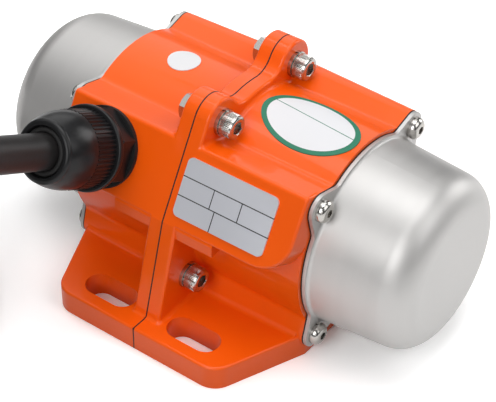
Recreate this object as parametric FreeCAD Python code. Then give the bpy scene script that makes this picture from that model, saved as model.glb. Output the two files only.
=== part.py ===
import FreeCAD, Part
import math
import os

from FreeCAD import Vector

os.makedirs("parts", exist_ok=True)

# Twin-shaft vibration motor: a cast body split across the middle, with a ball bearing in each
# end wall, eccentric weights on both shaft ends and a deep-drawn cap over each pair of weights.
# X runs along the shaft, Z is up and the foot stands on Z = 0. Lengths are in millimetres.
# Everything up to the cable is drawn about the shaft axis and lifted onto the foot when saved.

# Driving sizes of the body
body_length = 93.0
overall_length = 164.2
split_gasket_thickness = 0.5
barrel_radius = 34.8
barrel_floor_gap = 0.2
boss_share = 0.753
boss_radius = 5.3
boss_draft = 1.1
boss_web_rise = 15.0
boss_blend = 3.0

# Foot
foot_thickness = 9.0
foot_width = 122.0
foot_front_half_length = 33.0
foot_corner_radius = 8.0
foot_end_round = 2.0
foot_waist = 29.0
slot_width = 10.0
slot_length = 20.0
slot_row_spacing = 102.4
slot_pair_spacing = 34.8
edge_round = 0.9
foot_fillet = 2.5

# Split flange, its bolts and the web down to the foot
flange_thickness = 5.0
flange_rise = 2.7
flange_bolt_rise = 6.8
flange_top_bolt_angle = 61.4
flange_low_bolt_angle = -21.2
flange_lobe_blend = 8.0
cast_fillet = 1.5
web_toe = 54.3

# Side pad that carries the gland and the plate
pad_tilt = 29.0
pad_rise = 8.5
pad_drop = 13.9
pad_corner_radius = 12.0
pad_depth = 14.0
pad_edge_round = 0.9
rib_length = 14.5
rib_height = 4.6

# Housing cavity and bearing seats
barrel_wall = 4.6
stator_bore_end = 30.0
bore_step = 1.7
end_wall = 6.0
hub_radius = 20.0
seat_lip = 2.0
lip_radius = 12.0
fit_clearance = 0.05

# End caps
cap_gasket_thickness = 0.5
cap_sheet = 1.2
cap_flange_step = 1.3
cap_ear_radius = 5.2
cap_root_step = 2.5
cap_draft = 1.5
cap_corner_radius = 10.5
cap_root_round = 1.1

# Fasteners
m4_shank = 2.0
m4_head_radius = 3.8
m4_head_height = 2.2
m4_hex = 2.5
m4_washer = 0.9
m4_length = 12.0
m5_shank = 2.5
m5_head_radius = 4.25
m5_head_height = 5.0
m5_hex = 4.0
m5_washer = 1.2
m5_washer_radius = 4.6
m5_seat_radius = 4.7
m5_nut_flats = 8.0
m5_nut_height = 4.0
m5_nut_reach = 1.2
m5_clear_hole = 2.75

# Bearings, shaft and rotor
bearing_outer_radius = 16.0
bearing_inner_radius = 6.0
bearing_width = 10.0
race_thickness = 3.0
ball_radius = 2.9
ball_count = 7
shaft_core_radius = 7.0
shaft_radius = 6.0
shaft_end_room = 8.1
shaft_tip = 2.8
stack_half_length = 17.0
stator_inner_radius = 16.0
air_gap = 0.3
stator_slots = 12
stator_slot_width = 5.0
stator_yoke = 4.6
tooth_tip = 1.6
winding_reach = 10.0
rotor_bars = 12
rotor_bar_radius = 1.1
end_ring_length = 4.0

# Eccentric weights
weight_room = 2.6
weight_hub_radius = 11.0
weight_gap = 0.4
cap_weight_gap = 1.2
spacer_radius = 9.0
clamp_ear_half_width = 9.0
clamp_ear_height = 15.5
clamp_slot = 1.6
clamp_screw_drop = 4.5
clamp_head_height = 4.0
clamp_shank_share = 0.2
clamp_head_share = 0.35
key_width = 4.0
key_height = 4.0
circlip_thickness = 1.0
circlip_radius = 8.2

# Gland and cable
gland_from_split = 29.5
gland_thread_radius = 9.8
gland_flats = 24.0
gland_hex_height = 6.5
gland_washer = 1.5
gland_washer_radius = 13.6
gland_thread_length = 10.0
gland_bore = 7.0
nut_collar_radius = 14.2
nut_collar_height = 2.2
nut_radius = 12.9
nut_rib_height = 11.5
nut_height = 24.0
nut_mouth_radius = 9.6
nut_ribs = 54
nut_rib_depth = 0.45
cable_radius = 6.0
coil_radius = 60.0
coil_gap_start = -39.8
coil_gap_end = -11.8
tie_angle = 120.0
tie_width = 2.6
tie_thickness = 1.2
core_radius = 1.3
core_length = 24.0
ferrule_length = 8.0

# Plates
plate_length = 35.0
plate_width = 20.0
plate_centre = 20.2
plate_thickness = 0.5
plate_corner = 2.0
label_thickness = 0.3
right_label_centre = (26.6, -1.6)
right_label_radii = (18.2, 11.8)
right_label_turn = -5.0
left_label_centre = (-26.3, 0.7)
left_label_radius = 5.6

axis_height = barrel_radius + barrel_floor_gap
boss_offset = boss_share * barrel_radius
flange_radius = barrel_radius + flange_rise
flange_bolt_circle_radius = barrel_radius + flange_bolt_rise
pad_distance = barrel_radius + pad_rise
stator_bore_radius = barrel_radius - barrel_wall
end_bore_radius = stator_bore_radius - bore_step
stator_slot_depth = stator_bore_radius - stator_inner_radius - tooth_tip - stator_yoke
cap_flange_radius = barrel_radius - cap_flange_step
cap_root_radius = barrel_radius - cap_root_step
cap_end_radius = cap_root_radius - cap_draft
weight_radius = cap_end_radius - cap_sheet - weight_room
shaft_half_length = overall_length / 2 - shaft_end_room
half_gasket = split_gasket_thickness / 2
half_body = body_length / 2
web_slope = math.radians(boss_web_rise)
tilt = math.radians(pad_tilt)
pad_out = Vector(0, -math.cos(tilt), math.sin(tilt))
pad_down = Vector(0, -math.sin(tilt), -math.cos(tilt))
along_x = Vector(1, 0, 0)
foot_top = foot_thickness - axis_height
cap_face = half_body + cap_gasket_thickness
flange_face = half_gasket + flange_thickness
bearing_start = half_body - seat_lip - bearing_width
fixed_weight_start = cap_face + cap_sheet + cap_weight_gap
circlip_start = shaft_half_length - shaft_tip - circlip_thickness
weight_thickness = (circlip_start - fixed_weight_start) / 2 - weight_gap
adjustable_weight_start = fixed_weight_start + weight_thickness + weight_gap
clamp_shank = clamp_shank_share * weight_thickness
clamp_head_radius = clamp_head_share * weight_thickness

saved = {}


# Helpers

def save(name, shape):
    """Lift a shape from the shaft axis onto the foot, check it and write it."""
    shape.translate(Vector(0, 0, axis_height))
    write(name, shape)


def write(name, shape):
    """Write a shape that already stands in the part's frame."""
    if not shape.isValid() or not shape.Solids:
        raise ValueError(name + " is not a valid solid")
    shape.exportStep("parts/" + name + ".step")
    saved[name] = shape
    print(name, len(shape.Solids), "solids", round(shape.Volume / 1000, 3), "cm3")


def group(shapes):
    return Part.makeCompound(shapes)


def mirrored(shape):
    """The same shape on the other side of the split."""
    return shape.mirror(Vector(0, 0, 0), along_x)


def both_sides(shape):
    return group([shape, mirrored(shape)])


def rod(radius, start, end, y=0.0, z=0.0):
    """Cylinder along X from start to end."""
    return Part.makeCylinder(radius, end - start, Vector(start, y, z), along_x)


def tube(outer, inner, start, end, y=0.0, z=0.0):
    return rod(outer, start, end, y, z).cut(rod(inner, start - 1, end + 1, y, z))


def rounded_wire(points, radii):
    """Closed outline through the points, with each corner rounded by its radius."""
    edges = []
    joints = []
    count = len(points)
    for i in range(count):
        corner = points[i]
        radius = radii[i]
        if radius == 0:
            joints.append((corner, corner))
            continue
        back = (points[i - 1] - corner).normalize()
        ahead = (points[(i + 1) % count] - corner).normalize()
        half = back.getAngle(ahead) / 2
        reach = radius / math.tan(half)
        centre = corner + (back + ahead).normalize() * (radius / math.sin(half))
        first = corner + back * reach
        last = corner + ahead * reach
        middle = centre + (corner - centre).normalize() * radius
        edges.append(Part.Arc(first, middle, last).toShape())
        joints.append((first, last))
    for i in range(count):
        start = joints[i][1]
        end = joints[(i + 1) % count][0]
        if start.distanceToPoint(end) > 1e-6:
            edges.append(Part.makeLine(start, end))
    return Part.Wire(Part.__sortEdges__(edges))


def rounded_prism(points, radii, travel):
    return Part.Face(rounded_wire(points, radii)).extrude(travel)


def yz_prism(pairs, radii, start, end):
    """Prism along X of an outline given as (y, z) pairs."""
    points = [Vector(start, y, z) for y, z in pairs]
    return rounded_prism(points, radii, along_x * (end - start))


def on_pad(x, down, out):
    """Point by its place along the shaft, down the pad's slope and out from its face."""
    return along_x * x + pad_down * down + pad_out * (pad_distance + out)


def is_hollow(shape, edge):
    """True where two faces of a shape meet at an inner corner."""
    faces = shape.ancestorsOfType(edge, Part.Face)
    if len(faces) != 2:
        return False
    middle = (edge.FirstParameter + edge.LastParameter) / 2
    place = edge.valueAt(middle)
    normals = [face.normalAt(*face.Surface.parameter(place)) for face in faces]
    if normals[0].getAngle(normals[1]) < math.radians(8):
        return False
    aside = normals[0].cross(edge.tangentAt(middle))
    step = 0.05
    if faces[0].distToShape(Part.Vertex(place + aside * step))[0] > 0.1 * step:
        aside = aside * -1
    return aside.dot(normals[1]) > 0


def polygon(centre, normal, start, flats):
    """Hexagon wire about a centre, with its first corner along start."""
    reach = flats / math.sqrt(3)
    side = normal.cross(start)
    corners = []
    for i in range(7):
        turn = math.radians(60 * i)
        corners.append(centre + start * (reach * math.cos(turn)) + side * (reach * math.sin(turn)))
    return Part.makePolygon(corners)


# Lobed outline shared by the barrel, the cap flange and the cap gasket

def lobed_outline(x, radius, ear, offset, blend):
    """Circle with four corner bosses, joined by webs that rise towards each boss.

    ear gives the boss radius of each quadrant, counted from +Y +Z towards -Y +Z.
    """
    edges = []
    chains = []
    for quarter in range(4):
        boss = ear[quarter]
        normal = (-math.sin(web_slope), math.cos(web_slope))
        level = offset * (normal[0] + normal[1]) + boss
        run = math.sqrt((radius + blend) ** 2 - (level + blend) ** 2)
        centre = (normal[0] * (level + blend) + normal[1] * run,
                  normal[1] * (level + blend) - normal[0] * run)
        line_start = (centre[0] - blend * normal[0], centre[1] - blend * normal[1])
        shrink = radius / (radius + blend)
        barrel_end = (centre[0] * shrink, centre[1] * shrink)
        line_end = (offset + boss * normal[0], offset + boss * normal[1])
        blend_turn = math.atan2(line_start[1] + barrel_end[1] - 2 * centre[1],
                                line_start[0] + barrel_end[0] - 2 * centre[0])
        blend_middle = (centre[0] + blend * math.cos(blend_turn),
                        centre[1] + blend * math.sin(blend_turn))
        outer = offset + boss * math.sqrt(0.5)
        chain = [(barrel_end[1], barrel_end[0]), (blend_middle[1], blend_middle[0]),
                 (line_start[1], line_start[0]), (line_end[1], line_end[0]), (outer, outer),
                 line_end, line_start, blend_middle, barrel_end]
        turn = math.radians(90 * quarter)
        chains.append([Vector(x, y * math.cos(turn) - z * math.sin(turn),
                              y * math.sin(turn) + z * math.cos(turn)) for y, z in chain])
    for quarter in range(4):
        c = chains[quarter]
        after = chains[(quarter + 1) % 4][0]
        turn = math.radians(90 * (quarter + 1))
        top = Vector(x, radius * math.cos(turn), radius * math.sin(turn))
        edges.append(Part.Arc(c[0], c[1], c[2]).toShape())
        edges.append(Part.makeLine(c[2], c[3]))
        edges.append(Part.Arc(c[3], c[4], c[5]).toShape())
        edges.append(Part.makeLine(c[5], c[6]))
        edges.append(Part.Arc(c[6], c[7], c[8]).toShape())
        edges.append(Part.Arc(c[8], top, after).toShape())
    return Part.Wire(edges)


def boss_places():
    return [(sy * boss_offset, sz * boss_offset) for sy in (-1, 1) for sz in (-1, 1)]


def flange_bolt_places():
    places = []
    for angle in (flange_top_bolt_angle, flange_low_bolt_angle):
        reach = math.radians(angle)
        y = flange_bolt_circle_radius * math.cos(reach)
        z = flange_bolt_circle_radius * math.sin(reach)
        places += [(-y, z), (y, z)]
    return places


# Housing halves

def drafted_barrel():
    """Barrel with its four screw bosses, thicker at the split so that it leaves the mould."""
    thick = boss_radius + boss_draft
    near_top = 1
    at_split = [thick] * 4
    at_split[near_top] = boss_radius
    inner = lobed_outline(half_gasket, barrel_radius, at_split, boss_offset, boss_blend)
    outer = lobed_outline(half_body, barrel_radius, [boss_radius] * 4, boss_offset, boss_blend)
    return Part.makeLoft([inner, outer], True, True)


def foot_outline(inset):
    """Face under one half of the foot, drawn in from its edge by inset."""
    y = foot_width / 2 - inset
    points = [(half_gasket, -y), (foot_front_half_length - inset / 2, -y), (half_body - inset, -foot_waist),
              (half_body - inset, foot_waist), (foot_front_half_length - inset / 2, y), (half_gasket, y)]
    corners = [Vector(px, py, -axis_height) for px, py in points]
    radii = [0, foot_corner_radius, foot_end_round, foot_end_round, foot_corner_radius, 0]
    return Part.Face(rounded_wire(corners, radii))


def foot_plate():
    plate = foot_outline(0).extrude(Vector(0, 0, foot_thickness))
    upper = [e for e in plate.Edges if e.BoundBox.ZMin > foot_top - 0.01]
    rim = [e for e in upper if e.BoundBox.XMax > half_gasket + 0.1]
    plate = plate.makeFillet(edge_round, rim)
    slots = []
    middle = slot_pair_spacing / 2
    reach = (slot_length - slot_width) / 2
    low = -axis_height - 1
    depth = foot_thickness + 2
    for side in (-1, 1):
        y = side * slot_row_spacing / 2
        for x in (middle - reach, middle + reach):
            slots.append(Part.makeCylinder(slot_width / 2, depth, Vector(x, y, low)))
        slots.append(Part.makeBox(2 * reach, slot_width, depth, Vector(middle - reach, y - slot_width / 2, low)))
    return plate, slots


def foot_fillets():
    """Hollow fillets between the two lower bosses and the top of the foot."""
    fillets = []
    for side in (-1, 1):
        sections = []
        for x, radius in ((half_gasket, boss_radius + boss_draft), (half_body, boss_radius)):
            rise = foot_top + foot_fillet + boss_offset
            run = math.sqrt((radius + foot_fillet) ** 2 - rise ** 2)
            boss = Vector(x, -boss_offset, -boss_offset)
            centre = boss + Vector(0, -run, rise)
            on_foot = Vector(x, centre.y, foot_top)
            on_boss = boss + (centre - boss) * (radius / (radius + foot_fillet))
            middle = centre + ((on_foot + on_boss) * 0.5 - centre).normalize() * foot_fillet
            sections.append(Part.Wire([Part.Arc(on_foot, middle, on_boss).toShape(),
                                       Part.makeLine(on_boss, boss),
                                       Part.makeLine(boss, boss - Vector(0, 0, 2)),
                                       Part.makeLine(boss - Vector(0, 0, 2), on_foot - Vector(0, 0, 2)),
                                       Part.makeLine(on_foot - Vector(0, 0, 2), on_foot)]))
        strip = Part.makeLoft(sections, True, True)
        if side > 0:
            strip = strip.mirror(Vector(0, 0, 0), Vector(0, 1, 0))
        fillets.append(strip)
    column = foot_outline(edge_round).extrude(Vector(0, 0, 2 * foot_thickness))
    return [strip.common(column) for strip in fillets]


def round_flange_hollows(body):
    """Cast fillets where the flange and its web meet the barrel and the foot.

    The short corners by the pad's rib and under the far top lobe stay sharp.
    """
    hollows = []
    for edge in body.Edges:
        box = edge.BoundBox
        by_rib = box.Center.y < -barrel_radius and box.Center.z > 0
        by_lobe = box.Center.y > 0.7 * barrel_radius and box.Center.z > barrel_radius / 2
        if box.XMax < flange_face + 0.1 and not by_rib and not by_lobe and is_hollow(body, edge):
            hollows.append(edge)
    return body.makeFillet(cast_fillet, hollows)


def flange_half():
    """Flange with a lobe round each top bolt and a web on both sides down to the foot."""
    start, end = half_gasket, flange_face
    top_y, top_z = flange_bolt_places()[1]
    lobe = pad_distance - (top_y * math.cos(tilt) + top_z * math.sin(tilt))
    touch = Vector(0, -top_y, top_z) + pad_out * lobe
    corner = pad_down * pad_drop + pad_out * pad_distance
    toe_slope = (web_toe + corner.y) / (foot_top - corner.z)
    below = foot_top - foot_thickness
    toe = -web_toe + toe_slope * (foot_thickness)
    near = yz_prism([(-top_y, top_z), (touch.y, touch.z), (corner.y, corner.z), (toe, below),
                     (0, below), (0, 0)], [0, 0, 2.0, 0, 0, 0], start, end)
    reach = math.hypot(web_toe, foot_top)
    tangent = math.atan2(foot_top, web_toe) + math.acos(flange_radius / reach)
    ty, tz = flange_radius * math.cos(tangent), flange_radius * math.sin(tangent)
    far_toe = web_toe + (web_toe - ty) / (tz - foot_top) * foot_thickness
    far = yz_prism([(0, 0), (0, below), (far_toe, below), (ty, tz)], [0, 0, 0, 0], start, end)
    disc = rod(flange_radius, start, end)
    lobes = [rod(lobe, start, end, side * top_y, top_z) for side in (-1, 1)]
    plate = disc.fuse([near, far] + lobes).removeSplitter()
    block = Part.makeBox(10, 200, 100, Vector(-1, -100, -axis_height - 100))
    plate = plate.cut(block)
    return plate, lobe


def blend_lobes(plate, lobe):
    """Round the hollow between each lobe and the flange circle, and the flange's outer rim."""
    top_y, top_z = flange_bolt_places()[1]
    hollows = []
    for edge in plate.Edges:
        box = edge.BoundBox
        if box.XLength < flange_thickness - 0.1 or box.YLength > 0.01 or box.ZLength > 0.01:
            continue
        y, z = box.Center.y, box.Center.z
        on_circle = abs(math.hypot(y, z) - flange_radius) < 0.01
        on_lobe = abs(math.hypot(abs(y) - top_y, z - top_z) - lobe) < 0.01
        if on_circle and on_lobe:
            hollows.append(edge)
    plate = plate.makeFillet(flange_lobe_blend, hollows)
    rim = []
    for edge in plate.Edges:
        box = edge.BoundBox
        if box.XMin > flange_face - 0.01 and box.ZMin > -axis_height + 0.1:
            rim.append(edge)
    return plate.makeFillet(edge_round, rim)


def side_pad():
    """Flat pad on the near side, square to the cable gland."""
    corner = pad_down * pad_drop + pad_out * pad_distance
    normal = (-math.sin(web_slope), math.cos(web_slope))
    level = boss_offset * (normal[0] + normal[1]) + boss_radius
    # The pad's top edge is where the rising web meets the pad's plane.
    slope = math.tan(web_slope)
    base = level / math.cos(web_slope)
    top_y = -(pad_distance - base * math.sin(tilt)) / (math.cos(tilt) + slope * math.sin(tilt))
    top_z = base - slope * top_y
    inner_y = -barrel_radius * 0.4
    inner = corner - pad_out * pad_depth
    outline = [(inner_y, base - slope * inner_y), (top_y, top_z), (corner.y, corner.z),
               (inner.y, inner.z), (inner_y, 0)]
    block = yz_prism(outline, [0, 1.5, 0, 0, 0], half_gasket, half_body)
    frame = [on_pad(0, -60, -60), on_pad(half_body, -60, -60), on_pad(half_body, pad_drop, -60),
             on_pad(0, pad_drop, -60)]
    frame = rounded_prism(frame, [0, 0, pad_corner_radius, 0], pad_out * 80)
    block = block.common(frame)
    rim = []
    for edge in block.Edges:
        middle = edge.valueAt((edge.FirstParameter + edge.LastParameter) / 2)
        on_face = abs(middle.dot(pad_out) - pad_distance) < 0.01
        if on_face and middle.x > half_gasket + 0.1 and middle.dot(pad_down) > -pad_drop + 2.5:
            rim.append(edge)
    block = block.makeFillet(pad_edge_round, rim)
    rib_end = flange_face + rib_length
    y, z = corner.y, corner.z
    inner_y = -0.8 * barrel_radius
    rib = yz_prism([(y + 0.6, z + 0.4), (y, z - 0.8), (y, z - rib_height), (inner_y, z - rib_height),
                    (inner_y, z + 0.4)], [0] * 5, half_gasket, rib_end)
    return block, rib


def cavity():
    """Everything hollow inside one half, turned about the shaft."""
    wall = half_body - end_wall
    profile = [(0, 0), (0, stator_bore_radius), (stator_bore_end, stator_bore_radius),
               (stator_bore_end + 2, end_bore_radius), (wall, end_bore_radius), (wall, hub_radius),
               (bearing_start - 1, hub_radius), (bearing_start - 1, bearing_outer_radius + fit_clearance),
               (half_body - seat_lip, bearing_outer_radius + fit_clearance),
               (half_body - seat_lip, lip_radius), (half_body + 1, lip_radius), (half_body + 1, 0)]
    points = [Vector(x, 0, r) for x, r in profile]
    face = Part.Face(Part.makePolygon(points + [points[0]]))
    return face.revolve(Vector(0, 0, 0), along_x, 360)


def housing_half():
    plate, slots = foot_plate()
    flange, lobe = flange_half()
    flange = blend_lobes(flange, lobe)
    pad, rib = side_pad()
    body = drafted_barrel().fuse([plate, flange, pad, rib]).removeSplitter()
    body = round_flange_hollows(body).fuse(foot_fillets()).removeSplitter()
    cuts = [cavity()] + slots
    for y, z in flange_bolt_places():
        cuts.append(rod(m5_clear_hole, -1, flange_face + 1, y, z))
        # Spot face, so that the washer and the nut sit clear of the cast fillet.
        cuts.append(rod(m5_seat_radius, flange_face, flange_face + m5_head_height, y, z))
    for y, z in boss_places():
        cuts.append(rod(m4_shank + fit_clearance, half_body - m4_length, half_body + 1, y, z))
    return body.cut(cuts)


right_half = housing_half()
left_half = mirrored(right_half)
gland_seat = Part.makeCylinder(gland_thread_radius + fit_clearance, pad_depth + 4,
                               on_pad(-gland_from_split, 0, 1), pad_out * -1)
left_half = left_half.cut(gland_seat)


def split_gasket():
    """Thin gasket on the outline of the flange, the webs and the foot."""
    flange, lobe = flange_half()
    flange = blend_lobes(flange, lobe)
    y = foot_width / 2
    foot = yz_prism([(-y, -axis_height), (y, -axis_height), (y, foot_top), (-y, foot_top)],
                    [0] * 4, half_gasket, flange_face)
    slab = Part.makeBox(split_gasket_thickness, 200, 200, Vector(half_gasket, -100, -100))
    sheet = flange.fuse(foot).common(slab).removeSplitter()
    sheet.translate(Vector(-2 * half_gasket, 0, 0))
    holes = [rod(stator_bore_radius, -1, 1)]
    for py, pz in flange_bolt_places():
        holes.append(rod(m5_clear_hole, -1, 1, py, pz))
    return sheet.cut(holes)


save("housing_right", right_half)
save("housing_left", left_half)
save("split_gasket", split_gasket())


# End caps

def cap_sheet_outline(start, thickness):
    ears = [cap_ear_radius] * 4
    outline = lobed_outline(start, cap_flange_radius, ears, boss_offset, boss_blend)
    return Part.Face(outline).extrude(along_x * thickness)


def end_cap():
    """Deep-drawn cup with a slight taper, a big corner radius and an eared flange."""
    base = cap_face
    rim = overall_length / 2

    def cup(inset, root):
        """Solid of revolution of the cup, from a root profile up to its closed end."""
        corner = cap_corner_radius - inset
        tip = cap_end_radius - inset
        bend = rim - cap_corner_radius
        turn = math.sqrt(0.5)
        corner_middle = Vector(bend + corner * turn, 0, tip - corner * (1 - turn))
        edges = root + [Part.makeLine(root[-1].lastVertex().Point, Vector(bend, 0, tip)),
                        Part.Arc(Vector(bend, 0, tip), corner_middle,
                                 Vector(bend + corner, 0, tip - corner)).toShape(),
                        Part.makeLine(Vector(bend + corner, 0, tip - corner), Vector(bend + corner, 0, 0)),
                        Part.makeLine(Vector(bend + corner, 0, 0), root[0].firstVertex().Point)]
        return Part.Face(Part.Wire(edges)).revolve(Vector(0, 0, 0), along_x, 360)

    top = base + cap_sheet
    middle = base + cap_sheet / 2
    wide = cap_root_radius + cap_root_round
    sink = cap_root_round * (1 - math.sqrt(0.5))
    flared = [Part.makeLine(Vector(middle, 0, 0), Vector(middle, 0, wide)),
              Part.makeLine(Vector(middle, 0, wide), Vector(top, 0, wide)),
              Part.Arc(Vector(top, 0, wide), Vector(top + sink, 0, cap_root_radius + sink),
                       Vector(top + cap_root_round, 0, cap_root_radius)).toShape()]
    bore = cap_root_radius - cap_sheet
    straight = [Part.makeLine(Vector(base - 1, 0, 0), Vector(base - 1, 0, bore)),
                Part.makeLine(Vector(base - 1, 0, bore), Vector(top, 0, bore))]
    cap = cup(0, flared).fuse(cap_sheet_outline(base, cap_sheet)).removeSplitter()
    holes = [rod(m4_shank + 0.25, base - 1, top + 1, y, z) for y, z in boss_places()]
    return cap.cut([cup(cap_sheet, straight)] + holes)


def cap_gasket():
    sheet = cap_sheet_outline(half_body, cap_gasket_thickness)
    holes = [rod(m4_shank + 0.25, half_body - 1, half_body + 2, y, z) for y, z in boss_places()]
    return sheet.cut([rod(cap_root_radius - cap_sheet, half_body - 1, half_body + 2)] + holes)


right_cap = end_cap()
right_cap_gasket = cap_gasket()
save("end_cap_left", mirrored(right_cap))
save("end_cap_right", right_cap)
save("cap_gasket_left", mirrored(right_cap_gasket))
save("cap_gasket_right", right_cap_gasket)


# Fasteners

def hex_socket(face, depth, flats, y, z):
    wire = polygon(Vector(face + 0.01, y, z), along_x, Vector(0, 0, 1), flats)
    return Part.Face(wire).extrude(along_x * -(depth + 0.01))


def button_screw(y, z):
    """Button-head screw through the cap's ear into the boss."""
    seat = cap_face + cap_sheet + m4_washer
    rise = math.sqrt(0.5)
    top = m4_head_radius * 0.55
    profile = [Part.makeLine(Vector(seat, 0, 0), Vector(seat, 0, m4_head_radius)),
               Part.Arc(Vector(seat, 0, m4_head_radius),
                        Vector(seat + m4_head_height * rise, 0, m4_head_radius * 0.86),
                        Vector(seat + m4_head_height, 0, top)).toShape(),
               Part.makeLine(Vector(seat + m4_head_height, 0, top), Vector(seat + m4_head_height, 0, 0)),
               Part.makeLine(Vector(seat + m4_head_height, 0, 0), Vector(seat, 0, 0))]
    head = Part.Face(Part.Wire(profile)).revolve(Vector(0, 0, 0), along_x, 360)
    head.translate(Vector(0, y, z))
    shank = rod(m4_shank, half_body - m4_length + 1.5, seat + 0.5, y, z)
    return head.fuse(shank).cut(hex_socket(seat + m4_head_height, 1.4, m4_hex, y, z)).removeSplitter()


def socket_screw(y, z):
    """Socket-head screw through both flanges, its head on the right half."""
    seat = flange_face + m5_washer
    top = seat + m5_head_height
    head = rod(m5_head_radius, seat, top, y, z)
    rim = [e for e in head.Edges if e.BoundBox.XMin > top - 0.01]
    head = head.makeFillet(0.5, rim)
    shank = rod(m5_shank, -(flange_face + m5_nut_height + m5_nut_reach), seat + 0.5, y, z)
    return head.fuse(shank).cut(hex_socket(top, 2.5, m5_hex, y, z)).removeSplitter()


def hex_nut(y, z):
    start = -(flange_face + m5_nut_height)
    wire = polygon(Vector(start, y, z), along_x, Vector(0, 0, 1), m5_nut_flats)
    nut = Part.Face(wire).extrude(along_x * m5_nut_height)
    corner = m5_nut_flats / math.sqrt(3)
    cone = Part.makeCone(m5_nut_flats / 2, m5_nut_flats / 2 + m5_nut_height * 1.7, m5_nut_height,
                         Vector(start, y, z), along_x)
    nut = nut.common(cone.common(rod(corner + 1, start, start + m5_nut_height, y, z)))
    return nut.cut(rod(m5_shank + fit_clearance, start - 1, 0, y, z))


def spring_washer(start, thickness, outer, inner, y, z):
    """Split ring, cut once at an angle."""
    ring = tube(outer, inner, start, start + thickness, y, z)
    gap = Part.makeBox(thickness * 3, 0.5, outer + 1, Vector(-thickness * 1.5, -0.25, 0))
    gap.rotate(Vector(0, 0, 0), Vector(0, 0, 1), 25)
    gap.translate(Vector(start + thickness / 2, y, z))
    return ring.cut(gap)


right_cap_screws = [button_screw(y, z) for y, z in boss_places()]
save("cap_screws", group(right_cap_screws + [mirrored(s) for s in right_cap_screws]))
right_cap_washers = [spring_washer(cap_face + cap_sheet, m4_washer, m4_head_radius, m4_shank + 0.15, y, z)
                     for y, z in boss_places()]
save("cap_screw_washers", group(right_cap_washers + [mirrored(w) for w in right_cap_washers]))
save("flange_bolts", group([socket_screw(y, z) for y, z in flange_bolt_places()]))
save("flange_nuts", group([hex_nut(y, z) for y, z in flange_bolt_places()]))
flange_washers = [spring_washer(flange_face, m5_washer, m5_washer_radius, m5_shank + 0.15, y, z)
                  for y, z in flange_bolt_places()]
save("flange_bolt_washers", group(flange_washers))


# Stator

def stator_slot_bar(width, inner, outer, start, end, turn):
    bar = Part.makeBox(end - start, width, outer - inner, Vector(start, -width / 2, inner))
    bar.rotate(Vector(0, 0, 0), along_x, turn)
    return bar


def stator_core():
    outer = stator_bore_radius - fit_clearance
    stack = tube(outer, stator_inner_radius, -stack_half_length, stack_half_length)
    cuts = []
    for i in range(stator_slots):
        turn = 360 / stator_slots * i
        floor = stator_inner_radius + tooth_tip
        cuts.append(stator_slot_bar(stator_slot_width, floor, floor + stator_slot_depth,
                                    -stack_half_length - 1, stack_half_length + 1, turn))
        cuts.append(stator_slot_bar(1.6, stator_inner_radius - 1, floor + 1,
                                    -stack_half_length - 1, stack_half_length + 1, turn))
    return stack.cut(cuts)


def stator_windings():
    """Conductors in the slots, joined by a bundle of end turns at each end."""
    low = stator_inner_radius + tooth_tip + 0.3
    high = low + stator_slot_depth - 0.6
    parts = []
    for side in (-1, 1):
        bundle = tube(high + 1.5, low, stack_half_length + 0.3, stack_half_length + winding_reach)
        far = [e for e in bundle.Edges if e.BoundBox.XMin > stack_half_length + winding_reach - 0.01]
        bundle = bundle.makeFillet(2.5, far)
        parts.append(bundle if side > 0 else mirrored(bundle))
    for i in range(stator_slots):
        parts.append(stator_slot_bar(stator_slot_width - 0.6, low, high, -stack_half_length - 0.6,
                                     stack_half_length + 0.6, 360 / stator_slots * i))
    return parts[0].fuse(parts[1:]).removeSplitter()


save("stator_core", stator_core())
save("stator_windings", stator_windings())


# Rotor, shaft and bearings

def shaft():
    body = rod(shaft_radius, -shaft_half_length, shaft_half_length)
    ends = [e for e in body.Edges if abs(abs(e.BoundBox.Center.x) - shaft_half_length) < 0.01]
    body = body.makeChamfer(0.8, ends)
    body = body.fuse(rod(shaft_core_radius, -bearing_start, bearing_start))
    groove = tube(shaft_radius + 1, shaft_radius - 0.3, circlip_start - 0.05,
                  circlip_start + circlip_thickness + 0.05)
    keyway = Part.makeBox(weight_thickness, key_width, key_height,
                          Vector(fixed_weight_start, -key_width / 2, shaft_radius - key_height * 0.6))
    return body.cut([groove, mirrored(groove), keyway, mirrored(keyway)]).removeSplitter()


def rotor_core():
    outer = stator_inner_radius - air_gap
    core = tube(outer, shaft_core_radius + 0.02, -stack_half_length, stack_half_length)
    pitch = stator_inner_radius - air_gap - 0.5 - rotor_bar_radius
    holes = []
    for i in range(rotor_bars):
        turn = math.radians(360 / rotor_bars * i)
        holes.append(rod(rotor_bar_radius + 0.02, -stack_half_length - 1, stack_half_length + 1,
                         pitch * math.cos(turn), pitch * math.sin(turn)))
    return core.cut(holes)


def rotor_cage():
    """Cast bars joined by a ring at each end."""
    pitch = stator_inner_radius - air_gap - 0.5 - rotor_bar_radius
    ring = tube(pitch + rotor_bar_radius + 0.2, pitch - 3.5, stack_half_length,
                stack_half_length + end_ring_length)
    parts = [ring, mirrored(ring)]
    for i in range(rotor_bars):
        turn = math.radians(360 / rotor_bars * i)
        parts.append(rod(rotor_bar_radius, -stack_half_length - 1, stack_half_length + 1,
                         pitch * math.cos(turn), pitch * math.sin(turn)))
    return parts[0].fuse(parts[1:]).removeSplitter()


ball_pitch = (bearing_outer_radius + bearing_inner_radius) / 2
bearing_middle = bearing_start + bearing_width / 2


def race(outer, inner):
    """One grooved ring of the right-hand bearing."""
    ring = tube(outer, inner, bearing_start, bearing_start + bearing_width)
    groove = Part.makeTorus(ball_pitch, ball_radius + 0.08, Vector(bearing_middle, 0, 0), along_x)
    return ring.cut(groove)


def ball_row():
    balls = []
    for i in range(ball_count):
        turn = math.radians(360 / ball_count * i)
        place = Vector(bearing_middle, ball_pitch * math.cos(turn), ball_pitch * math.sin(turn))
        balls.append(Part.makeSphere(ball_radius, place))
    return balls


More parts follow.
